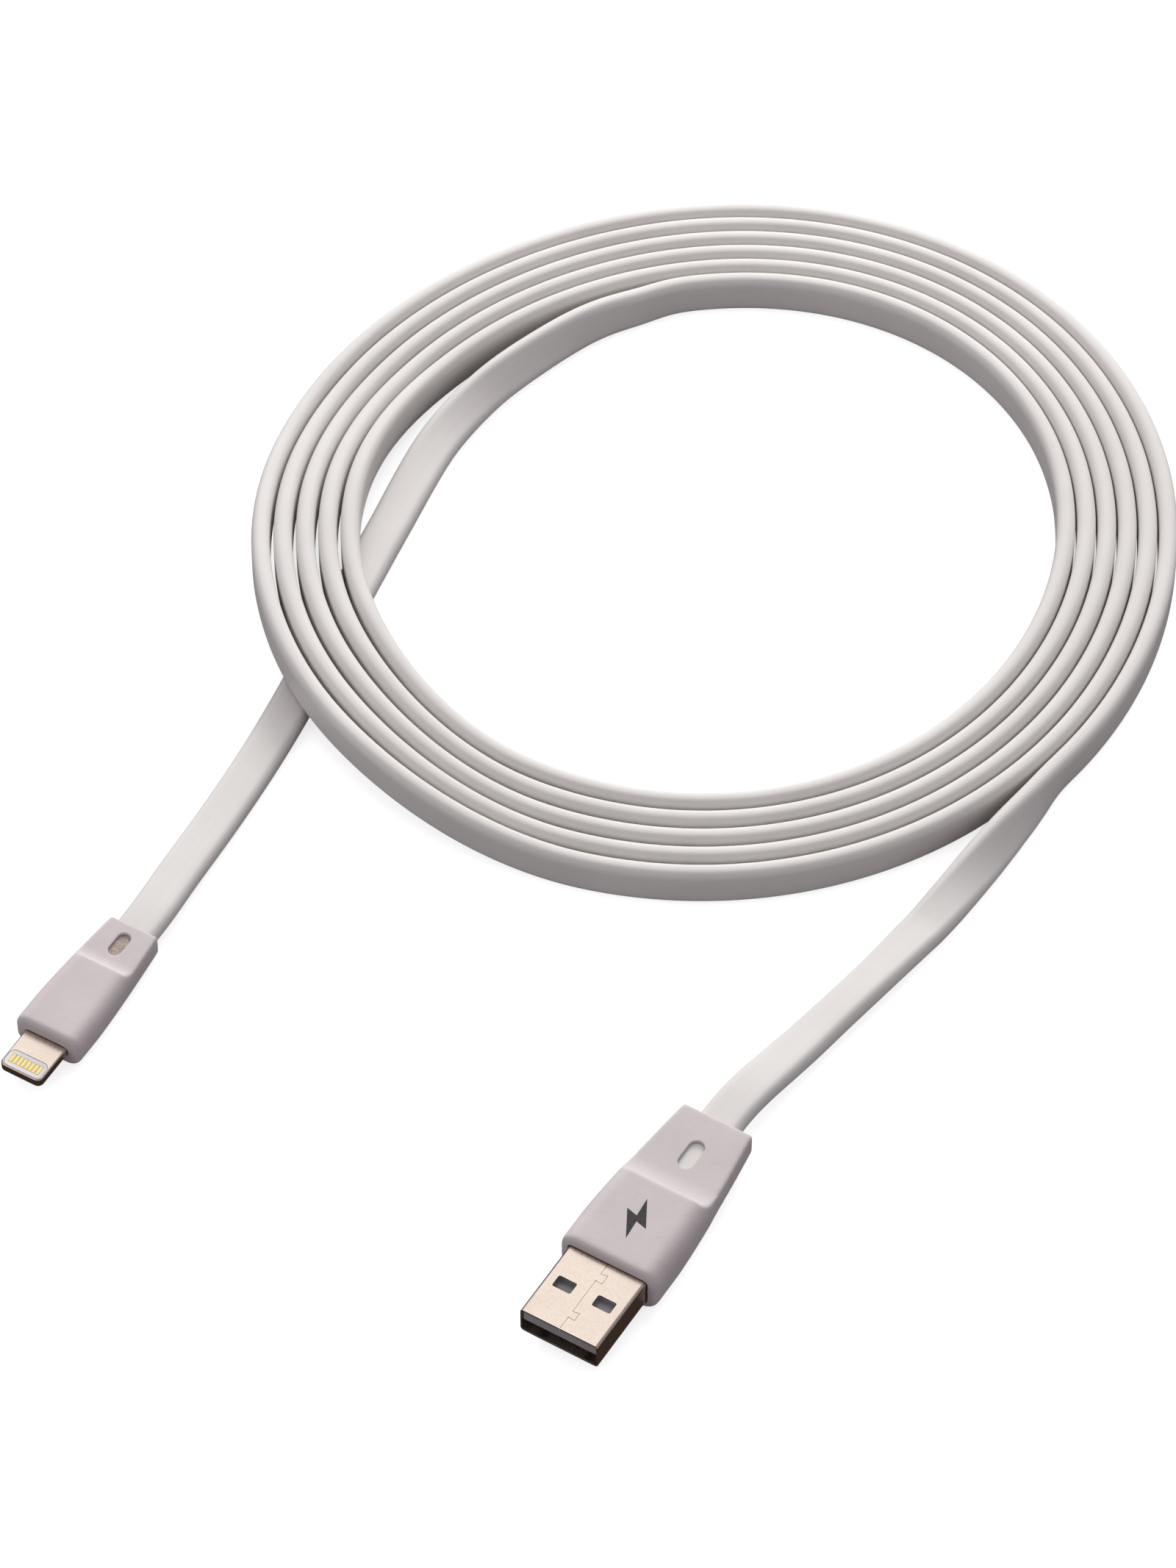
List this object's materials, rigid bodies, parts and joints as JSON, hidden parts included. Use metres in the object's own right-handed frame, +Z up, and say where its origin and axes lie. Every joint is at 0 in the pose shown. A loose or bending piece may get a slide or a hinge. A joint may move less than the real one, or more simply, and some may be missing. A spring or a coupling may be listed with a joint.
{
  "type": "charging cable",
  "caption": "Flat ribbon charging cable, lying in a loose coil, with a USB-A plug at one end and a small reversible phone plug at the other.",
  "frame": {"origin": "under the middle of the whole object as it lies, on the surface that it lies on", "axes": "+Z up from the surface; +Y from the plugs towards the far side of the coil; +X to the right of it, seen from the plugs' side"},
  "size_m": [0.1644, 0.2101, 0.0092],
  "materials": {
    "jacket": "matt off-white thermoplastic elastomer, faintly textured",
    "grip": "matt off-white overmould with a fine spark-eroded grain",
    "inner_mould": "plain injection-moulded polyethylene",
    "plating": "stamped steel with satin champagne nickel plating",
    "gold": "polished gold-plated copper alloy",
    "tin": "dull tin",
    "tongue_plastic": "smooth grey moulding",
    "insulator": "smooth white moulding",
    "board": "green solder mask on glass-fibre laminate",
    "chip": "black moulding compound",
    "capacitor": "tan ceramic",
    "wire_black": "smooth insulation",
    "wire_green": "smooth insulation",
    "wire_white": "smooth insulation",
    "wire_red": "smooth insulation"
  },
  "bodies": {
    "root": {"usb_shell": "plating", "usb_tongue": "tongue_plastic", "usb_contact_1": "gold", "usb_contact_2": "gold", "usb_contact_3": "gold", "usb_contact_4": "gold", "usb_solder_1": "tin", "usb_solder_2": "tin", "usb_solder_3": "tin", "usb_solder_4": "tin", "usb_wire_ground": "wire_black", "usb_wire_data_plus": "wire_green", "usb_wire_data_minus": "wire_white", "usb_wire_power": "wire_red", "usb_inner_mould": "inner_mould", "usb_overmould": "grip", "tip_frame": "plating", "tip_insulator": "insulator", "tip_contact_top_1": "gold", "tip_contact_top_2": "gold", "tip_contact_top_3": "gold", "tip_contact_top_4": "gold", "tip_contact_top_5": "gold", "tip_contact_top_6": "gold", "tip_contact_top_7": "gold", "tip_contact_top_8": "gold", "tip_contact_bottom_1": "gold", "tip_contact_bottom_2": "gold", "tip_contact_bottom_3": "gold", "tip_contact_bottom_4": "gold", "tip_contact_bottom_5": "gold", "tip_contact_bottom_6": "gold", "tip_contact_bottom_7": "gold", "tip_contact_bottom_8": "gold", "tip_board": "board", "tip_chip": "chip", "tip_capacitor_1": "capacitor", "tip_capacitor_2": "capacitor", "tip_shield_sleeve": "tin", "tip_solder_1": "tin", "tip_solder_2": "tin", "tip_solder_3": "tin", "tip_solder_4": "tin", "tip_wire_ground": "wire_black", "tip_wire_data_plus": "wire_green", "tip_wire_data_minus": "wire_white", "tip_wire_power": "wire_red", "tip_inner_mould": "inner_mould", "tip_overmould": "grip", "cable_length_usb": "jacket", "cable_coil": "jacket", "cable_length_tip": "jacket"}
  },
  "joints": []
}
